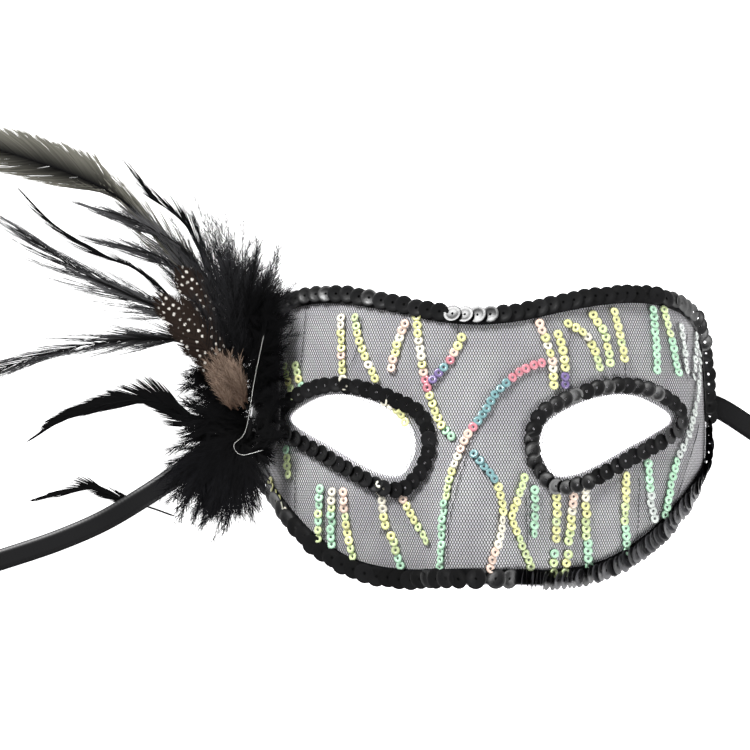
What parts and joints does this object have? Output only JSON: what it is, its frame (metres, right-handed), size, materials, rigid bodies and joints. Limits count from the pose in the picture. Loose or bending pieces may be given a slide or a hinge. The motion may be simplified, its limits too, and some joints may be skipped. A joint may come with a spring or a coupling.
{
  "type": "venetian masquerade mask",
  "caption": "Half-face masquerade mask: formed shell under net with sequin rows, black sequin edging, a feather spray at one temple and ribbon ties.",
  "frame": {"origin": "on the table, under the middle of the box of the mask and its feathers, without the ribbon ties", "axes": "+X across the face towards the temple without feathers, +Y towards the brow, +Z out of the face, which lies upwards"},
  "size_m": [0.3852, 0.2104, 0.0613],
  "materials": {
    "shell": "moulded white shell with a satiny lilac-grey cast",
    "net": "black tulle net with open cells, glued over the shell",
    "sequin_black": "cupped black sequins on a sewn strand",
    "sequin_iridescent": "small iridescent ring sequins, yellow to mint with peach and teal",
    "ribbon": "black satin ribbon",
    "felt": "black felt",
    "feather_black": "black coque and hackle feather",
    "feather_grey": "thin grey barbs",
    "feather_spotted": "dark brown guinea feather with white spots",
    "marabou": "black marabou down",
    "down_tan": "tan down",
    "glue": "clear hot-melt glue thread"
  },
  "bodies": {
    "root": {"mask_shell": "shell", "net_cover": "net", "trim_brow_left": "sequin_black", "trim_brow_right": "sequin_black", "trim_lip_left": "sequin_black", "trim_lip_right": "sequin_black", "trim_left_eye": "sequin_black", "trim_right_eye": "sequin_black", "row_brow_left_1": "sequin_iridescent", "row_brow_left_2": "sequin_iridescent", "row_brow_left_3": "sequin_iridescent", "row_bridge_left": "sequin_iridescent", "row_bridge_short": "sequin_iridescent", "row_temple_left_1": "sequin_iridescent", "row_lip_left_1": "sequin_iridescent", "row_lip_left_2": "sequin_iridescent", "row_lip_left_3": "sequin_iridescent", "row_lip_left_4": "sequin_iridescent", "row_lip_left_6": "sequin_iridescent", "row_nose_long": "sequin_iridescent", "row_nose_teal": "sequin_iridescent", "row_nose_fork": "sequin_iridescent", "row_lip_right_1": "sequin_iridescent", "row_lip_right_2": "sequin_iridescent", "row_lip_right_3": "sequin_iridescent", "row_lip_right_4": "sequin_iridescent", "row_lip_right_5": "sequin_iridescent", "row_lip_right_6": "sequin_iridescent", "row_brow_right_1": "sequin_iridescent", "row_brow_right_3": "sequin_iridescent", "row_brow_right_4": "sequin_iridescent", "row_brow_right_5": "sequin_iridescent", "row_brow_right_6": "sequin_iridescent", "row_brow_right_7": "sequin_iridescent", "row_temple_right": "sequin_iridescent", "left_tie_strip": "ribbon", "left_tie_roll": "ribbon", "left_tie_patch": "felt", "right_tie_strip": "ribbon", "right_tie_roll": "ribbon", "right_tie_patch": "felt", "feather_curl_low": "feather_black", "feather_grey_low": "feather_grey", "feather_coque_broad": "feather_black", "feather_fan_upper": "feather_grey", "feather_fan_lower": "feather_grey", "feather_quill_upper": "feather_black", "feather_hackle_long": "feather_black", "feather_hackle_grey": "feather_black", "feather_guinea_long": "feather_spotted", "feather_guinea_short": "feather_spotted", "feather_under_ribbon": "feather_black", "marabou_upper": "marabou", "marabou_edge": "marabou", "marabou_lower": "marabou", "down_tan": "down_tan", "feather_pad": "felt", "glue_thread": "glue"}
  },
  "joints": []
}
